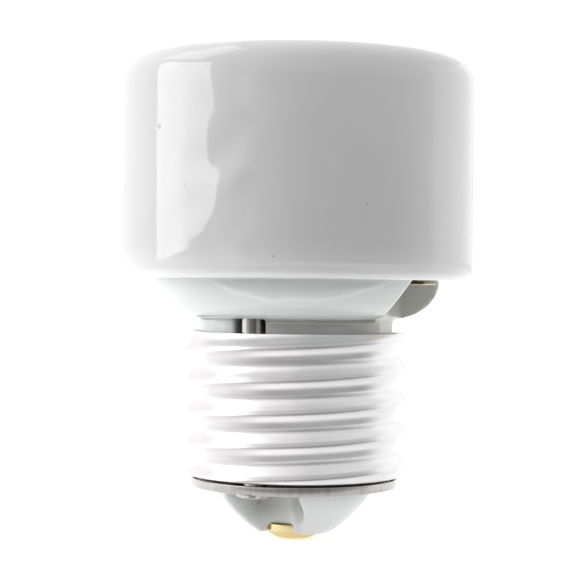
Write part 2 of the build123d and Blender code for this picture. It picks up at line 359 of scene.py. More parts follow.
def white_glaze(sizes):
    """Clear glaze over white porcelain, with clouds, waves, specks and pinholes, and painted light and shade.
    """
    finish = surface("white_glaze", {"IOR": 1.75})
    place = finish.place()
    x, y, height = (finish.part(place, letter) for letter in "XYZ")
    foot = sizes.foot_height

    # whites of one glaze, painted lit and shaded: the head, the shoulder, the cone and the lower edge of the
    # head, painted brightest
    low = finish.eased(height, foot + 0.3 * MM, foot - 0.5 * MM)
    cone = finish.eased(height, sizes.cone_top + 3 * MM, sizes.cone_top + 2 * MM)
    edge = finish.eased(height, foot + 1.1 * MM, foot + 0.3 * MM) * 0.75
    edge = (1 - low) * (edge + finish.eased(height, foot + 4 * MM, foot + MM) * 0.25)
    clouds = finish.noise(place, 70, 3)
    mottle = finish.noise(place, 420, 4)
    white = finish.mixed(low, sizes.glaze, sizes.shoulder_lit_white)
    white = finish.mixed(cone, white, sizes.cone_lit_white)
    white = finish.mixed(edge, white, sizes.edge_lit_white)

    # a painted highlight in a bow on the front of the shoulder and painted shade over it, after the
    # photograph
    brow = height - 3.69 * MM - x * x * 22.5 + (finish.noise(place, 330, 1) - 0.5) * 0.9 * MM
    front = finish.eased(y, -6 * MM, -9 * MM) * low * finish.eased(height, 1.6 * MM, 2.6 * MM)
    white = finish.mixed(front * finish.eased(brow, -0.1 * MM, 0.5 * MM) * 0.2, white, BROW_SHADE)
    highlight_bow = finish.eased(abs(brow), 0.45 * MM, 0.05 * MM)
    white = finish.mixed(front * highlight_bow * 0.6, white, BOW_HIGHLIGHT)
    shaded = finish.mixed((clouds * 1.4 - 0.5).held() * 0.32, white, dimmed(sizes.glaze, CLOUD_DIM))

    # painted shade in the front scoop, on the neck and in the pocket, after the photograph
    way = sizes.scoop_bearing
    across = x * math.sin(way) - y * math.cos(way)
    along = x * math.cos(way) + y * math.sin(way) - sizes.scoop_reach - sizes.scoop_radius
    scoop = finish.eased((across * across + along * along) ** 0.5, sizes.scoop_radius + 0.4 * MM,
                         sizes.scoop_radius + 0.1 * MM) * finish.eased(height, -17.2 * MM, -17.6 * MM)
    dark = scoop * (0.5 + 0.5 * finish.eased(across, -1.5 * MM, 3 * MM))
    dark = dark * finish.eased(x, -7.2 * MM, -3.6 * MM)
    dark = dark * (0.35 + 0.65 * finish.eased(height, -22.6 * MM, -20 * MM))
    shaded = finish.mixed(dark * 0.9, shaded, SCOOP_SHADE)
    neck = finish.eased(height, 2.0 * MM, 1.3 * MM) * finish.eased(height, -17 * MM, -16.5 * MM)
    facing = finish.eased(x * 0.35 - y * 0.94, 4 * MM, 9.5 * MM)
    shaded = finish.mixed(neck * (0.5 * facing + 0.2 * mottle), shaded, NECK_SHADE)
    turn = sizes.pocket_bearing
    aside = y * math.cos(turn) - x * math.sin(turn)
    pocket = low * finish.eased(abs(aside), 5.5 * MM, 5.1 * MM) * finish.eased(
        x * math.cos(turn) + y * math.sin(turn), 9.5 * MM, 10.5 * MM)
    shaded = finish.mixed(pocket * 0.5, shaded, POCKET_SHADE)

    # specks and pinholes strewn about, and the marks in front
    cell = {"Vector": place, "Scale": 165.0}
    near = finish.node("ShaderNodeTexVoronoi", "Distance", {}, cell)
    chance = finish.part(finish.node("ShaderNodeTexVoronoi", "Color", {}, cell), "X")
    speck = (near < 0.022) * (chance > 0.86)
    pit = (1 - near / 0.045).held() * (chance < 0.12)
    for right, up, size in GLAZE_MARKS:
        far = (x - right * MM) * (x - right * MM) + (height - up * MM) * (height - up * MM)
        speck = speck + finish.eased(far ** 0.5, size * MM, 0.3 * size * MM) * (y < 0.0) * 0.5
    base = finish.mixed((speck * 0.75).held(), shaded, sizes.speck)

    # waves all over, and deeper ones at the front left, on the wall and over the rim
    wall = finish.eased(height, foot + 0.5 * MM, foot + 3 * MM)
    runs = wall * finish.eased(x, -14.5 * MM, -12 * MM) * finish.eased(x, -4 * MM, -7 * MM) * (y < 0.0)
    waves = finish.noise(place, 120, 1) * 0.14 + (finish.noise(place, 200, 0) - 0.5) * runs * 1.3
    relief = waves + mottle * 0.006 - pit * 0.15 - speck * 0.08
    return finish.done({"Base Color": base, "Roughness": 0.05 + mottle * 0.05 + pit * 0.2,
                        "Normal": finish.bumped(relief, sizes.glaze_waves)})


def rolled_sheet(sizes):
    """Bright sheet with fine lines along the roll and rubbed marks, and bands of painted light and painted
    reflection, after the photograph.
    """
    finish = surface("rolled_sheet", {"Metallic": 1.0})
    place = finish.place()
    lines = finish.noise(finish.stretched(place, (60, 60, 4200)), 1.0, 4, 0.6)
    bands = finish.noise(finish.stretched(place, (90, 90, 700)), 1.0, 2)
    rubbed = (finish.noise(place, 600, 5, 0.7) * 3 - 1.5).held()
    x, y = finish.part(place, "X"), finish.part(place, "Y")
    sheet = sizes.shell_metal
    for none, full, shade in SHELL_PAINTED_LIGHT:
        sheet = finish.mixed(finish.eased(x, none * MM, full * MM), sheet, shade)
    tone = finish.mixed(lines * 0.35 + rubbed * 0.2, sheet, dimmed(sizes.shell_metal, 0.8))

    # painted reflections: dark bands under the crests and along them, painted in front only, where the
    # photograph shows them
    dark = dimmed(sizes.shell_metal, 0.42)
    reach = (x * x + y * y) ** 0.5
    slope = finish.part(finish.node("ShaderNodeNewGeometry", "Normal", {}, {}), "Z")
    under = finish.eased(slope, -0.08, -0.3) * finish.eased(reach, sizes.root_radius + 0.55 * MM,
                                                            sizes.root_radius + 0.2 * MM)
    facing = finish.eased(y, -3 * MM, -10 * MM) * finish.eased(x, -8.8 * MM, -2.5 * MM)
    facing = facing * finish.eased(x, 10.2 * MM, 7.2 * MM) * (0.7 + bands * 0.4)
    tone = finish.mixed(under * facing, tone, dark)
    crest = finish.eased(reach, sizes.crest_radius - 0.3 * MM, sizes.crest_radius - 0.08 * MM)
    tone = finish.mixed(crest * finish.eased(slope, -0.06, 0.06) * facing * 0.6, tone, dark)
    return finish.done({"Base Color": tone, "Roughness": 0.24 + lines * 0.05 + bands * 0.05 + rubbed * 0.06,
                        "Normal": finish.bumped(lines * 0.5 + rubbed * 0.3, 0.005 * MM)})


def sheared_ring(sizes):
    """Dull plated ring whose rim shows the upright marks of the shear."""
    finish = surface("sheared_ring", {"Metallic": 1.0})
    place = finish.place()
    rim = finish.stretched(place, (1.0, 1.0, 0.12))
    marks = finish.noise(rim, 2300, 4, 0.65)
    broad = finish.noise(rim, 420, 2)
    dull = finish.noise(place, 260, 4, 0.6)
    worn = (marks * 1.6 + broad * 0.9 - 0.85).held()
    tone = finish.mixed(worn, dimmed(sizes.ring_metal, 0.66), sizes.ring_metal)
    tone = finish.mixed((dull * 2 - 0.8).held() * 0.35, tone, RING_STAIN)
    return finish.done({"Base Color": tone, "Roughness": 0.1 + dull * 0.12,
                        "Normal": finish.bumped(marks * 0.7 + broad * 0.4, 0.012 * MM)})


def plated_rivet(sizes):
    """Bright plated rivet wire with fine marks, and dark streaks along its length as painted reflections."""
    finish = surface("plated_rivet", {"Metallic": 1.0})
    place = finish.place()
    marks = finish.noise(finish.stretched(place, (4200, 4200, 160)), 1.0, 3)
    dull = finish.noise(place, 700, 3)
    # dark streaks along the shank: painted reflection
    streak = finish.eased(finish.noise(finish.stretched(place, (1500, 1500, 60)), 1.0, 1), 0.42, 0.6)
    tone = finish.mixed(dull * 0.4, sizes.rivet_metal, dimmed(sizes.rivet_metal, 0.7))
    tone = finish.mixed(streak * 0.8, tone, dimmed(sizes.rivet_metal, 0.25))
    return finish.done({"Base Color": tone, "Roughness": 0.12 + marks * 0.14,
                        "Normal": finish.bumped(marks, 0.008 * MM)})


def worn_brass(sizes, name, browned, shade_below=-1.0):
    """Brass sheet with cloudy tarnish and fine scratches, and painted shade below a height."""
    finish = surface(name, {"Metallic": 1.0})
    place = finish.place()
    clouds = finish.noise(place, 260, 4, 0.6)
    scratch = finish.noise(finish.stretched(place, (500, 3800, 1400)), 1.0, 3)
    height = finish.part(place, "Z")
    # painted shade below a height, deepest in a band just under it
    low_edge = finish.eased(height, shade_below + 0.2 * MM, shade_below)
    deep = low_edge * finish.eased(height, shade_below - 0.74 * MM, shade_below - 0.66 * MM)
    brown = ((clouds - 0.62 + browned) * 2.6).held()
    tone = finish.mixed(brown, sizes.brass, sizes.tarnish)
    tone = finish.mixed(deep * 0.75 + low_edge * 0.25, tone, dimmed(sizes.tarnish, 0.3))
    return finish.done({"Base Color": tone, "Roughness": 0.2 + brown * 0.2 + scratch * 0.1,
                        "Normal": finish.bumped(scratch, 0.008 * MM)})


# modelling

def only(piece):
    """Selects one piece and makes it active."""
    bpy.ops.object.select_all(action="DESELECT")
    piece.select_set(True)
    bpy.context.view_layer.objects.active = piece


def opened(piece):
    """Opens one piece for editing."""
    only(piece)
    bpy.ops.object.mode_set(mode="EDIT")


def shut():
    """Ends the editing."""
    bpy.ops.object.mode_set(mode="OBJECT")


def started(add, name, **at):
    """Adds a primitive with nothing else selected and opens it for editing."""
    bpy.ops.object.select_all(action="DESELECT")
    add(**at)
    piece = bpy.context.active_object
    piece.name = name
    piece.data.name = name
    bpy.ops.object.mode_set(mode="EDIT")
    bpy.ops.mesh.select_mode(type="VERT")
    bpy.ops.mesh.select_all(action="SELECT")
    return piece


def modified(piece, kind, **settings):
    """Adds a modifier, sets it and applies it."""
    only(piece)
    bpy.ops.object.modifier_add(type=kind)
    modifier = piece.modifiers[-1]
    for key, value in settings.items():
        setattr(modifier, key, value)
    bpy.ops.object.modifier_apply(modifier=modifier.name)


def applied(piece):
    """Puts the place, turn and scale of a piece into its mesh."""
    only(piece)
    bpy.ops.object.transform_apply(location=True, rotation=True, scale=True)
    return piece


def sized(piece, scale):
    """Scales a piece about the origin."""
    piece.scale = (scale, scale, scale)
    return applied(piece)


def joined_by(piece, other, operation):
    """Cuts another solid out of a piece, or unites the two."""
    modified(piece, "BOOLEAN", operation=operation, object=other, solver="EXACT")
    bpy.data.objects.remove(other)


def gathered(piece, others):
    """Joins other pieces to a piece as they are."""
    only(piece)
    for other in others:
        other.select_set(True)
    bpy.ops.object.join()


def picked(piece, kind, test):
    """Selects, while editing, the vertices or edges whose middle passes the test."""
    bpy.ops.mesh.select_mode(type=kind)
    bpy.ops.mesh.select_all(action="DESELECT")
    shut()
    mesh = piece.data
    if kind == "VERT":
        for vertex in mesh.vertices:
            vertex.select = test(vertex.co)
    else:
        for edge in mesh.edges:
            a, b = (mesh.vertices[i].co for i in edge.vertices)
            edge.select = test((a + b) / 2)
    bpy.ops.object.mode_set(mode="EDIT")


def quarter(steps):
    """Angles from 0 to a quarter of a turn."""
    return [math.pi / 2 * k / steps for k in range(steps + 1)]


def outline(corners, steps=6, longest=None):
    """Points of a section in the XZ plane. Each corner is its radius, its height and its round."""
    points = []
    flat = [Vector((r, 0, z)) for r, z, _ in corners]
    for i, here in enumerate(flat):
        bend = corners[i][2]
        if not bend:
            points.append(here)
            continue
        back = (flat[i - 1] - here).normalized()
        ahead = (flat[(i + 1) % len(flat)] - here).normalized()
        half = back.angle(ahead) / 2
        centre = here + (back + ahead).normalized() * bend / math.sin(half)
        arm = here + back * bend / math.tan(half) - centre
        axis = arm.cross(here + ahead * bend / math.tan(half) - centre).normalized()
        for k in range(steps + 1):
            points.append(centre + Quaternion(axis, (math.pi - 2 * half) * k / steps) @ arm)
    if not longest:
        return points
    finer = []
    for a, b in zip(points, points[1:] + points[:1]):
        count = max(1, math.ceil((b - a).length / longest))
        finer += [a.lerp(b, k / count) for k in range(count)]
    return finer


def pulled(way):
    """Extrudes what is selected along a vector."""
    bpy.ops.mesh.extrude_region_move(TRANSFORM_OT_translate={"value": way})


def drawn(name, points):
    """A line of edges: a plane drawn together to one vertex, then extruded from point to point."""
    piece = started(bpy.ops.mesh.primitive_plane_add, name, size=MM)
    bpy.ops.mesh.merge(type="CENTER")
    bpy.ops.transform.translate(value=points[0])
    for a, b in zip(points, points[1:]):
        pulled(b - a)
    return piece


def cleaned():
    """Merges doubles and turns the faces outwards, while editing."""
    bpy.ops.mesh.select_mode(type="VERT")
    bpy.ops.mesh.select_all(action="SELECT")
    bpy.ops.mesh.remove_doubles(threshold=0.001 * MM)
    bpy.ops.mesh.normals_make_consistent(inside=False)


def turned(name, points, steps, closed=True):
    """A section spun about the axis."""
    piece = drawn(name, points + points[:1] if closed else points)
    bpy.ops.mesh.select_all(action="SELECT")
    bpy.ops.mesh.spin(steps=steps, angle=2 * math.pi, center=(0, 0, 0), axis=(0, 0, 1))
    cleaned()
    shut()
    return piece


def block(name, low, high, bearing, rounding=0):
    """A box between two corners, turned about the axis to a bearing, with rounded upright edges."""
    middle = (Vector(low) + Vector(high)) / 2
    piece = started(bpy.ops.mesh.primitive_cube_add, name, size=1)
    bpy.ops.transform.resize(value=Vector(high) - Vector(low))
    if rounding:
        picked(piece, "EDGE", lambda at: abs(at.z) < NEAR)
        bpy.ops.mesh.bevel(offset=rounding, segments=6, affect="EDGES")
    shut()
    piece.rotation_euler.z = bearing
    piece.location = Quaternion(UP, bearing) @ middle
    return applied(piece)


def prism(name, points, low, high):
    """A section in the XZ plane, filled and drawn out along Y from the low to the high place."""
    piece = drawn(name, points + points[:1])
    cleaned()
    bpy.ops.mesh.edge_face_add()
    bpy.ops.transform.translate(value=(0, low, 0))
    pulled((0, high - low, 0))
    cleaned()
    shut()
    return piece


def bent_strip(name, points, width):
    """A strip along a line of points in the XZ plane, drawn out to both sides of that plane."""
    piece = drawn(name, points)
    bpy.ops.mesh.select_all(action="SELECT")
    bpy.ops.transform.translate(value=(0, -width / 2, 0))
    pulled((0, width, 0))
    cleaned()
    return piece


def thread_section(low, pitch, crest, root, samples, bite=1.0):
    """One pitch of a rolled thread in section, from root to root. A bite over 1 narrows the crest."""
    points = []
    for i in range(samples + 1):
        rise = (0.5 - 0.5 * math.cos(2 * math.pi * i / samples)) ** bite
        points.append(Vector((root + (crest - root) * rise, 0, low + pitch * i / samples)))
    return points


def levelled(low, high, gap):
    """Heights from the high to the low one, no further apart than the gap."""
    count = math.ceil((high - low) / gap)
    return [high + (low - high) * k / count for k in range(count + 1)]


def screwed(name, section, pitch, turns, levels, steps):
    """A plain sleeve with a ring of vertices at each level, pressed onto a right-hand thread."""
    form = drawn("thread_form", section)
    shut()
    modified(form, "SCREW", axis="Z", angle=2 * math.pi, screw_offset=pitch, iterations=turns,
             steps=FORM_STEPS, render_steps=FORM_STEPS)
    piece = turned(name, [Vector((section[0].x, 0, z)) for z in levels], steps, closed=False)
    modified(piece, "SHRINKWRAP", target=form, wrap_method="PROJECT", use_negative_direction=True,
             use_positive_direction=True)
    bpy.data.objects.remove(form)
    opened(piece)
    return piece


def dressed(piece, material, angle=35):
    """Smooths a piece up to an angle in degrees and gives it its material."""
    only(piece)
    bpy.ops.object.shade_smooth_by_angle(angle=math.radians(angle))
    piece.data.materials.clear()
    piece.data.materials.append(material)


def finished(piece, material, body, slot, *nodes, angle=35):
    """Dresses a piece and lets it ride on its body in place of its nodes."""
    dressed(piece, material, angle)
    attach(piece, body)
    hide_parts(*nodes)


# porcelain

def porcelain_head(sizes):
    """The head with its hollow and its well, turned in one. Its bore clears that of the core."""
    bore = BORE_RADIUS + 0.15 * MM
    base = sizes.well_floor - MM
    wall = sizes.well_radius + 1.2 * MM
    return turned("glazed_body", outline([
        (bore, base, 0), (wall, base, 0), (wall, sizes.foot_height, 0),
        (sizes.head_radius, sizes.foot_height, sizes.foot_round),
        (sizes.head_radius, sizes.rim_height, sizes.rim_round),
        (sizes.cavity_radius, sizes.rim_height, sizes.mouth_round),
        (sizes.cavity_radius, sizes.floor_height, 0.6 * MM),
        (sizes.well_radius, sizes.floor_height, 0.5 * MM), (sizes.well_radius, sizes.well_floor, 0.5 * MM),
        (bore, sizes.well_floor, 0)], longest=1.2 * MM), sizes.spin_steps)


def porcelain_core(sizes, ring_top):
    """The shoulder, the core inside the shell and the cone, turned in one. It laps into the head."""
    span = sizes.shoulder_radius - sizes.neck_radius
    drop = sizes.foot_height - sizes.neck_top
    bowl = [(sizes.neck_radius + span * math.cos(a), sizes.foot_height - drop * math.sin(a), 0)
            for a in quarter(14)]
    bulge = [(sizes.cone_radius - inwards * MM, sizes.cone_top - down * MM, 0)
             for inwards, down in CONE_BULGE]
    base = sizes.well_floor - 0.5 * MM
    wall = sizes.well_radius + 0.6 * MM
    roof = sizes.foot_height + 0.6 * MM
    seat = sizes.tip_height + MM
    return turned("glazed_core", outline([
        (BORE_RADIUS, base, 0), (wall, base, 0), (wall, roof, 0), (sizes.shoulder_radius, roof, 0), *bowl,
        (sizes.neck_radius, ring_top, 0.4 * MM), (sizes.cone_radius, ring_top, 0),
        (sizes.cone_radius, sizes.cone_top, 0), *bulge, (sizes.tip_radius, sizes.tip_height + 0.45 * MM, 0),
        (sizes.tip_radius - 0.9 * MM, sizes.tip_height, 0), (SEAT_RADIUS, sizes.tip_height, 0),
        (SEAT_RADIUS, seat, 0), (BORE_RADIUS, seat, 0)]), sizes.spin_steps)


def cut_core(core, sizes, ring_top):
    """Cuts the channels and holes of the rivets, the scoops and the pocket. The core is in millimetres."""
    half = sizes.channel_width / 2
    hole = 0.97 * half
    side = sizes.pocket_width / 2
    reach = sizes.scoop_reach + 2 * sizes.scoop_radius
    for turn in SIDES:
        bearing = sizes.channel_bearing + turn
        for cutter in (
                block("channel", (sizes.rivet_circle - half, -half, ring_top - MM),
                      (sizes.neck_radius + MM, half, sizes.neck_top), bearing),
                block("hole", (sizes.rivet_circle - hole, -hole, sizes.neck_top - MM),
                      (sizes.rivet_circle + hole, hole, sizes.floor_height), bearing),
                block("scoop", (sizes.scoop_reach, -sizes.scoop_radius, sizes.tip_height - MM),
                      (reach + 4 * MM, sizes.scoop_radius, ring_top + 0.03 * MM),
                      sizes.scoop_bearing + turn, 0.999 * sizes.scoop_radius)):
            joined_by(core, sized(cutter, 1 / MM), "DIFFERENCE")
    pocket = block("pocket", (sizes.pocket_back, -side, POCKET_FOOT),
                   (sizes.head_radius, side, sizes.foot_height + 0.3 * MM), sizes.pocket_bearing)
    joined_by(core, sized(pocket, 1 / MM), "DIFFERENCE")
    slant = prism("slant", [Vector((x, 0, z)) * MM for x, z in SLANT], *SLANT_ENDS)
    joined_by(core, sized(slant, 1 / MM), "DIFFERENCE")


def soften_core(core, sizes, ring_top):
    """Rounds the core as its glaze does, most along the edges of the scoops. The core is in millimetres."""
    modified(core, "REMESH", mode="VOXEL", voxel_size=VOXEL, adaptivity=0)
    modified(core, "SMOOTH", factor=0.5, iterations=5)
    for turn in SIDES:
        aside = Quaternion(UP, sizes.scoop_bearing + turn) @ Vector((0, -1, 0))
        opened(core)
        picked(core, "VERT", lambda at: at.z < ring_top / MM - 0.9 and at.dot(aside) > 2.2
               and at.xy.length > sizes.tip_radius / MM - 0.8)
        bpy.ops.mesh.vertices_smooth(factor=0.5, repeat=40)
        shut()


class LAMP_SOCKET_OT_porcelain_body(bpy.types.Operator):
    """Turn the porcelain body, cut its channels, scoops and pocket, and glaze it"""
    bl_idname = "lamp_socket.porcelain_body"
    bl_label = "Porcelain Body"

    def execute(self, context):
        sizes = context.scene.lamp_socket_porcelain
        ring_top = -context.scene.lamp_socket_shell.shell_length
        head = porcelain_head(sizes)
        core = porcelain_core(sizes, ring_top)
        sized(core, 1 / MM)
        sized(head, 1 / MM)
        cut_core(core, sizes, ring_top)
        soften_core(core, sizes, ring_top)
        joined_by(head, core, "UNION")
        sized(head, MM)
        finished(head, white_glaze(sizes), "socket", "porcelain", "porcelain_body", angle=50)
        return {"FINISHED"}


# metal

class LAMP_SOCKET_OT_screw_shell(bpy.types.Operator):
    """Roll the screw shell and tuck its lower edge in over the ring"""
    bl_idname = "lamp_socket.screw_shell"
    bl_label = "Screw Shell"

    def execute(self, context):
        shell = context.scene.lamp_socket_shell
        foot = shell.groove - shell.shell_length
        turns = math.ceil(shell.shell_length / shell.pitch) + 3
        low = shell.crest_level - (turns - 1) * shell.pitch + shell.pitch / 2
        section = thread_section(low, shell.pitch, shell.crest_radius, shell.root_radius, SHELL_SAMPLES,
                                 SHELL_BITE)
        levels = levelled(foot, 0, 0.16 * MM)
        piece = screwed("rolled_shell", section, shell.pitch, turns, levels, SHELL_STEPS)
        picked(piece, "EDGE", lambda at: at.z < foot + NEAR)
        level = foot
        for share, inwards, down in CURL:
            level -= down * MM
            pulled((0, 0, -down * MM))
            bpy.ops.transform.tosphere(value=share, center_override=(0, 0, level))
            bpy.ops.transform.resize(value=(inwards, inwards, 1), center_override=(0, 0, level))
        cleaned()
        shut()
        modified(piece, "SOLIDIFY", thickness=shell.wall, offset=-1)
        finished(piece, rolled_sheet(shell), "socket", "shell_metal", "screw_shell", angle=45)
        return {"FINISHED"}


class LAMP_SOCKET_OT_base_ring(bpy.types.Operator):
    """Turn the ring under the screw shell and add its two ears"""
    bl_idname = "lamp_socket.base_ring"
    bl_label = "Base Ring"

    def execute(self, context):
        shell = context.scene.lamp_socket_shell
        body = context.scene.lamp_socket_porcelain
        top = -shell.shell_length
        foot = top - shell.ring_thick
        edge = 0.1 * MM
        ear_half = 2.5 * MM
        sunk = 0.05 * MM
        piece = turned("flat_ring", outline([
            (shell.ring_bore, foot, edge), (shell.ring_radius, foot, edge), (shell.ring_radius, top, edge),
            (shell.ring_bore, top, edge)], 5), body.spin_steps)
        for turn in SIDES:
            ear = block("ear", (body.rivet_circle - 2 * MM, -ear_half, foot + sunk),
                        (body.rivet_circle + MM, ear_half, top - sunk), body.rivet_bearing + turn, 0.8 * MM)
            joined_by(piece, ear, "UNION")
        finished(piece, sheared_ring(shell), "socket", "ring_metal", "base_ring")
        return {"FINISHED"}


class LAMP_SOCKET_OT_shell_rivets(bpy.types.Operator):
    """Turn one long rivet and set two of them through the ring, the core and the flange"""
    bl_idname = "lamp_socket.shell_rivets"
    bl_label = "Shell Rivets"

    def execute(self, context):
        shell = context.scene.lamp_socket_shell
        body = context.scene.lamp_socket_porcelain
        foot = -shell.shell_length - shell.ring_thick
        seat = body.floor_height + context.scene.lamp_socket_contacts.flange_thick
        head, shank, end = 2.2 * MM, 1.5 * MM, 1.95 * MM
        top, dimple = seat + 0.4 * MM, seat + 0.15 * MM
        dome = [(head * math.sin(a), foot - 0.12 * MM - 0.5 * MM * math.cos(a), 0) for a in quarter(9)]
        piece = turned("long_rivet", outline([
            *dome, (head, foot, 0), (shank, foot, 0), (shank, seat, 0), (end, seat, 0), (end, top, 0.22 * MM),
            (0.7 * MM, top, 0.1 * MM), (0.55 * MM, dimple, 0.1 * MM), (0, dimple, 0)]), 40, closed=False)
        opened(piece)
        picked(piece, "VERT", lambda at: at.z < foot + 0.01 * MM and at.xy.length < head + 0.1 * MM)
        off_centre = Vector((0, 0.5 * MM, 0))
        bpy.ops.transform.translate(value=Quaternion(UP, body.rivet_bearing) @ off_centre)
        shut()
        bpy.ops.object.duplicate()
        twin = bpy.context.active_object
        for rivet, turn in zip((piece, twin), SIDES):
            only(rivet)
            out = Vector((body.rivet_circle, 0, 0))
            bpy.ops.transform.translate(value=Quaternion(UP, body.rivet_bearing + turn) @ out)
            applied(rivet)
        gathered(piece, [twin])
        finished(piece, plated_rivet(shell), "socket", "rivet_metal", "shell_rivets")
        return {"FINISHED"}


def socket_tab(body, contacts, seat):
    """The tab of the socket shell, bent out in the pocket under the head."""
    wall = contacts.collar_radius + 0.07 * MM
    level = body.foot_height - 0.28 * MM
    line = outline([(wall, seat - 0.1 * MM, 0), (wall, level, 0.5 * MM), (contacts.tab_reach, level, 0)])
    tab = bent_strip("socket_tab", line, contacts.tab_width)
    picked(tab, "VERT", lambda at: at.x > contacts.tab_reach - NEAR)
    bpy.ops.mesh.bevel(offset=0.8 * MM, segments=4, affect="VERTICES")
    shut()
    modified(tab, "SOLIDIFY", thickness=0.42 * MM, offset=0)
    modified(tab, "BEVEL", width=0.05 * MM, segments=2, limit_method="ANGLE")
    tab.rotation_euler.z = body.pocket_bearing
    return applied(tab)


class LAMP_SOCKET_OT_socket_shell(bpy.types.Operator):
    """Roll the socket shell, add its flange and bend its tab out in the pocket"""
    bl_idname = "lamp_socket.socket_shell"
    bl_label = "Socket Shell"

    def execute(self, context):
        shell = context.scene.lamp_socket_shell
        body = context.scene.lamp_socket_porcelain
        contacts = context.scene.lamp_socket_contacts
        floor = body.floor_height
        seat = floor + contacts.flange_thick
        low = seat + 0.5 * MM
        collar, foot = contacts.collar_radius, contacts.collar_foot
        turns = math.ceil((foot - low) / shell.pitch) + 2
        section = thread_section(seat - 1.5 * shell.pitch, shell.pitch, contacts.socket_radius,
                                 contacts.socket_crest, SOCKET_SAMPLES)
        piece = screwed("socket_sleeve", section, shell.pitch, turns, levelled(low, foot, 0.25 * MM),
                        SOCKET_STEPS)
        cleaned()
        shut()
        modified(piece, "SOLIDIFY", thickness=shell.wall, offset=1)
        wall = collar + shell.wall
        edge = 0.1 * MM
        cup = turned("socket_cup", outline([
            (contacts.flange_radius, floor, edge), (wall, floor, 0.5 * MM), (wall, low + 0.5 * MM, edge),
            (collar, low + 0.5 * MM, edge), (collar, seat, 0.5 * MM),
            (contacts.flange_radius, seat, edge)], 5), SOCKET_STEPS)
        step = contacts.socket_crest + 0.1 * MM
        under = foot - 0.35 * MM
        lip = turned("socket_lip", outline([
            (step, under, edge), (wall, under, 0.2 * MM), (wall, contacts.socket_top, 0.18 * MM),
            (collar, contacts.socket_top, 0.18 * MM), (collar, foot, 0.4 * MM),
            (step, foot, 0.15 * MM)], 5), SOCKET_STEPS)
        gathered(piece, [cup, lip, socket_tab(body, contacts, seat)])
        # the tab is painted in shade under the foot of the head
        brass = worn_brass(contacts, "socket_brass", 0.12, body.foot_height + 0.3 * MM)
        finished(piece, brass, "socket", "brass", "socket_shell", angle=45)
        return {"FINISHED"}


class LAMP_SOCKET_OT_base_contact(bpy.types.Operator):
    """Turn the stepped disc in the tip and the centre rivet that holds it"""
    bl_idname = "lamp_socket.base_contact"
    bl_label = "Base Contact"

    def execute(self, context):
        body = context.scene.lamp_socket_porcelain
        contacts = context.scene.lamp_socket_contacts
        seat = body.tip_height + MM
        face = body.tip_height - 0.15 * MM
        bore = 1.5 * MM
        disc = turned("stepped_disc", outline([
            (bore, face, 0), (contacts.button_radius, face, 0.3 * MM),
            (contacts.button_radius, seat, 0.1 * MM), (bore, seat, 0)], 5), 72)
        finished(disc, worn_brass(contacts, "disc_brass", 0.06), "socket", "brass", "base_contact")
        leaf = body.well_floor + contacts.strip_thick
        fall = face - contacts.pip_height
        pip, shank, clinch = contacts.pip_radius, 1.45 * MM, 2.3 * MM
        top, dimple = leaf + 0.65 * MM, leaf + 0.3 * MM
        dome = [(pip * math.sin(a), face - fall * math.cos(a) ** 0.8, 0) for a in quarter(12)[:-1]]
        rivet = turned("centre_pin", outline([
            *dome, (pip, face, 0), (shank, face, 0), (shank, leaf, 0), (clinch, leaf, 0),
            (clinch, top, 0.3 * MM), (0.9 * MM, top, 0.12 * MM), (0.7 * MM, dimple, 0.1 * MM),
            (0, dimple, 0)]), 56, closed=False)
        finished(rivet, worn_brass(contacts, "pin_brass", 0.0), "socket", "brass", "centre_rivet")
        return {"FINISHED"}


class LAMP_SOCKET_OT_contact_strip(bpy.types.Operator):
    """Fold the contact strip of the socket over on itself, about the hinge of the frame's joint"""
    bl_idname = "lamp_socket.contact_strip"
    bl_label = "Contact Strip"

    def execute(self, context):
        contacts = context.scene.lamp_socket_contacts
        hinge = Vector(frame["joints"][0]["pos_m"])
        level = context.scene.lamp_socket_porcelain.well_floor + contacts.strip_thick / 2
        bend = hinge.z - level
        fold, nose, nose_turn = 166, 1.3 * MM, 75
        foot_end = -3.3
        line = [Vector((x * MM, 0, level)) for x in (foot_end, -2.0, -0.5, 1.0, 2.4)]
        line += [hinge + bend * Vector((math.cos(a), 0, math.sin(a)))
                 for a in (math.radians(-90 + fold * k / 20) for k in range(21))]
        rise = math.radians(fold)
        ahead = Vector((math.cos(rise), 0, math.sin(rise)))
        line += [line[-1] + ahead * 1.6 * MM * k for k in (1, 2, 3, 4)]
        centre = line[-1] + nose * Vector((-math.sin(rise), 0, math.cos(rise)))
        line += [centre + nose * Vector((math.cos(a), 0, math.sin(a)))
                 for a in (math.radians(fold - 90 + nose_turn * k / 8) for k in range(1, 9))]
        piece = bent_strip("folded_strip", line, contacts.strip_width)
        end = line[-1]
        picked(piece, "VERT", lambda at: (at.x < (foot_end + 0.1) * MM and at.z < level + 0.1 * MM)
               or (at - end).xz.length < NEAR)
        bpy.ops.mesh.bevel(offset=0.9 * MM, segments=5, affect="VERTICES")
        shut()
        modified(piece, "SOLIDIFY", thickness=contacts.strip_thick, offset=0)
        modified(piece, "BEVEL", width=0.06 * MM, segments=2, limit_method="ANGLE")
        dressed(piece, worn_brass(contacts, "strip_brass", 0.05))
        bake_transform(piece)
        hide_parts("contact_foot", "contact_tongue")
        return {"FINISHED"}


# stage

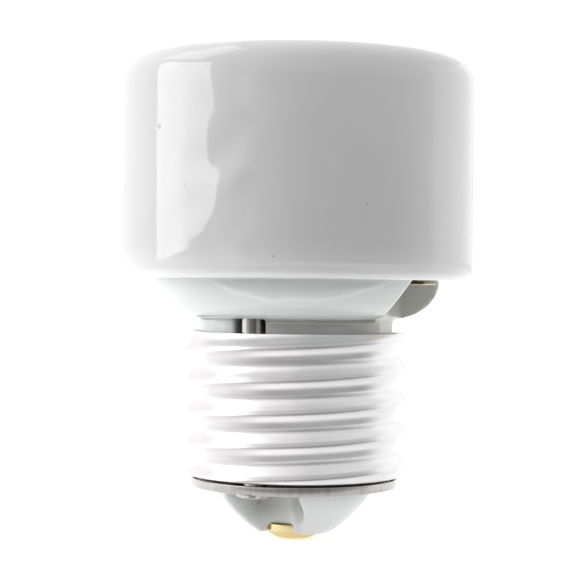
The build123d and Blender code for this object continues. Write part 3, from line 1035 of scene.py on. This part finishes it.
def lay_floor(sizes):
    """A floor that is plain to the camera, and darker in front and glowing behind to all other light."""
    floor = started(bpy.ops.mesh.primitive_plane_add, "pale_floor", size=6, location=(0, 0, cad_box[0][2]))
    bpy.ops.mesh.subdivide(number_cuts=3)
    shut()
    applied(floor)
    finish = surface("pale_floor", {"Roughness": 0.9, "Emission Strength": 1.0})
    place = finish.place()
    x, y = finish.part(place, "X"), finish.part(place, "Y")
    hidden = 1 - finish.node("ShaderNodeLightPath", "Is Camera Ray", {}, {})
    front = hidden * finish.eased(y, -0.039, -0.062) * finish.eased(y, -0.9, -0.5)
    front = front * finish.eased(x * x, 0.06, 0.02)
    soft = finish.noise(place, 3, 2) * 0.03 + front
    shade = finish.mixed(soft, sizes.floor_colour, dimmed(sizes.floor_colour, 0.3))
    around = 1 - finish.eased((x * x + y * y) ** 0.5, 0.022, 0.036)
    light = finish.eased(y, -0.03, 0.02) * 0.4 + finish.eased(y, 0.05, 0.5) * 0.2 + around * 0.2
    light = light * hidden + (1 - hidden) * 0.55
    glow = finish.mixed(light, (0.0, 0.0, 0.0), (1.0, 1.0, 1.0))
    floor.data.materials.append(finish.done({"Base Color": shade, "Emission Color": glow}))


def set_light(scene):
    """A surround, white behind, above and at the left and dark low in front, and three soft boxes."""
    scene.world = bpy.data.worlds.new("studio")
    studio = Finish(scene.world, "Background", {"Color": (1, 1, 1)})
    way = studio.node("ShaderNodeTexCoord", "Generated", {}, {})
    back = studio.eased(studio.part(way, "Y"), -0.6, 0.45)
    above = studio.eased(studio.part(way, "Z"), 0.02, 0.22)
    left = studio.eased(studio.part(way, "X"), 0.2, -0.9)
    facing = above * 0.86 + left * (0.74 - above * 0.42)
    studio.done({"Strength": back * (1.06 + left * 0.22) + (1 - back) * facing})
    for name, at, aim, (width, height), power in LAMPS:
        bpy.ops.object.light_add(type="AREA", location=Vector(at) * MM)
        lamp = bpy.context.active_object
        lamp.name = name
        lamp.data.shape = "RECTANGLE"
        lamp.data.size = width * MM
        lamp.data.size_y = height * MM
        lamp.data.energy = power
        lamp.visible_camera = False
        lamp.rotation_euler = (Vector(at) - Vector(aim)).to_track_quat("Z", "Y").to_euler()


def place_camera(scene, sizes):
    """A level camera in front, turned a little about its own line of sight."""
    bpy.ops.object.camera_add(location=(sizes.camera_side, -sizes.camera_distance, sizes.camera_height),
                              rotation=(math.pi / 2, sizes.camera_roll, 0))
    camera = bpy.context.active_object
    camera.name = "photo_camera"
    camera.data.lens = sizes.lens
    camera.data.sensor_width = 36
    camera.data.clip_start = 5 * MM
    scene.camera = camera
    scene.view_settings.view_transform = "Standard"


class LAMP_SOCKET_OT_stage(bpy.types.Operator):
    """Lay the pale floor, set the soft light and place the camera"""
    bl_idname = "lamp_socket.stage"
    bl_label = "Stage"

    def execute(self, context):
        sizes = context.scene.lamp_socket_stage
        lay_floor(sizes)
        set_light(context.scene)
        place_camera(context.scene, sizes)
        return {"FINISHED"}


class LAMP_SOCKET_PT_pieces(bpy.types.Panel):
    """Pieces of the lamp socket"""
    bl_idname = "LAMP_SOCKET_PT_pieces"
    bl_label = "Lamp Socket"
    bl_space_type = "VIEW_3D"
    bl_region_type = "UI"
    bl_category = "Lamp Socket"

    def draw(self, context):
        for piece in PIECES:
            self.layout.operator(piece.bl_idname)
        for group, kind in GROUPS.items():
            for name in kind.__annotations__:
                self.layout.prop(getattr(context.scene, group), name)


GROUPS = {"lamp_socket_porcelain": PorcelainSizes, "lamp_socket_shell": ShellSizes,
          "lamp_socket_contacts": ContactSizes, "lamp_socket_stage": StageSizes}
PIECES = (LAMP_SOCKET_OT_porcelain_body, LAMP_SOCKET_OT_screw_shell, LAMP_SOCKET_OT_base_ring,
          LAMP_SOCKET_OT_shell_rivets, LAMP_SOCKET_OT_socket_shell, LAMP_SOCKET_OT_base_contact,
          LAMP_SOCKET_OT_contact_strip, LAMP_SOCKET_OT_stage)


def register():
    """Makes the sizes, the operators and the panel known."""
    for kind in (*GROUPS.values(), *PIECES, LAMP_SOCKET_PT_pieces):
        bpy.utils.register_class(kind)
    for name, kind in GROUPS.items():
        setattr(bpy.types.Scene, name, PointerProperty(type=kind))


def unregister():
    """Takes them all back."""
    for name in GROUPS:
        delattr(bpy.types.Scene, name)
    for kind in (LAMP_SOCKET_PT_pieces, *reversed(PIECES), *reversed(GROUPS.values())):
        bpy.utils.unregister_class(kind)


def main():
    """Builds the pieces and the stage in order."""
    register()
    bpy.ops.lamp_socket.porcelain_body()
    bpy.ops.lamp_socket.screw_shell()
    bpy.ops.lamp_socket.base_ring()
    bpy.ops.lamp_socket.shell_rivets()
    bpy.ops.lamp_socket.socket_shell()
    bpy.ops.lamp_socket.base_contact()
    bpy.ops.lamp_socket.contact_strip()
    bpy.ops.lamp_socket.stage()


if __name__ == "__main__":
    main()
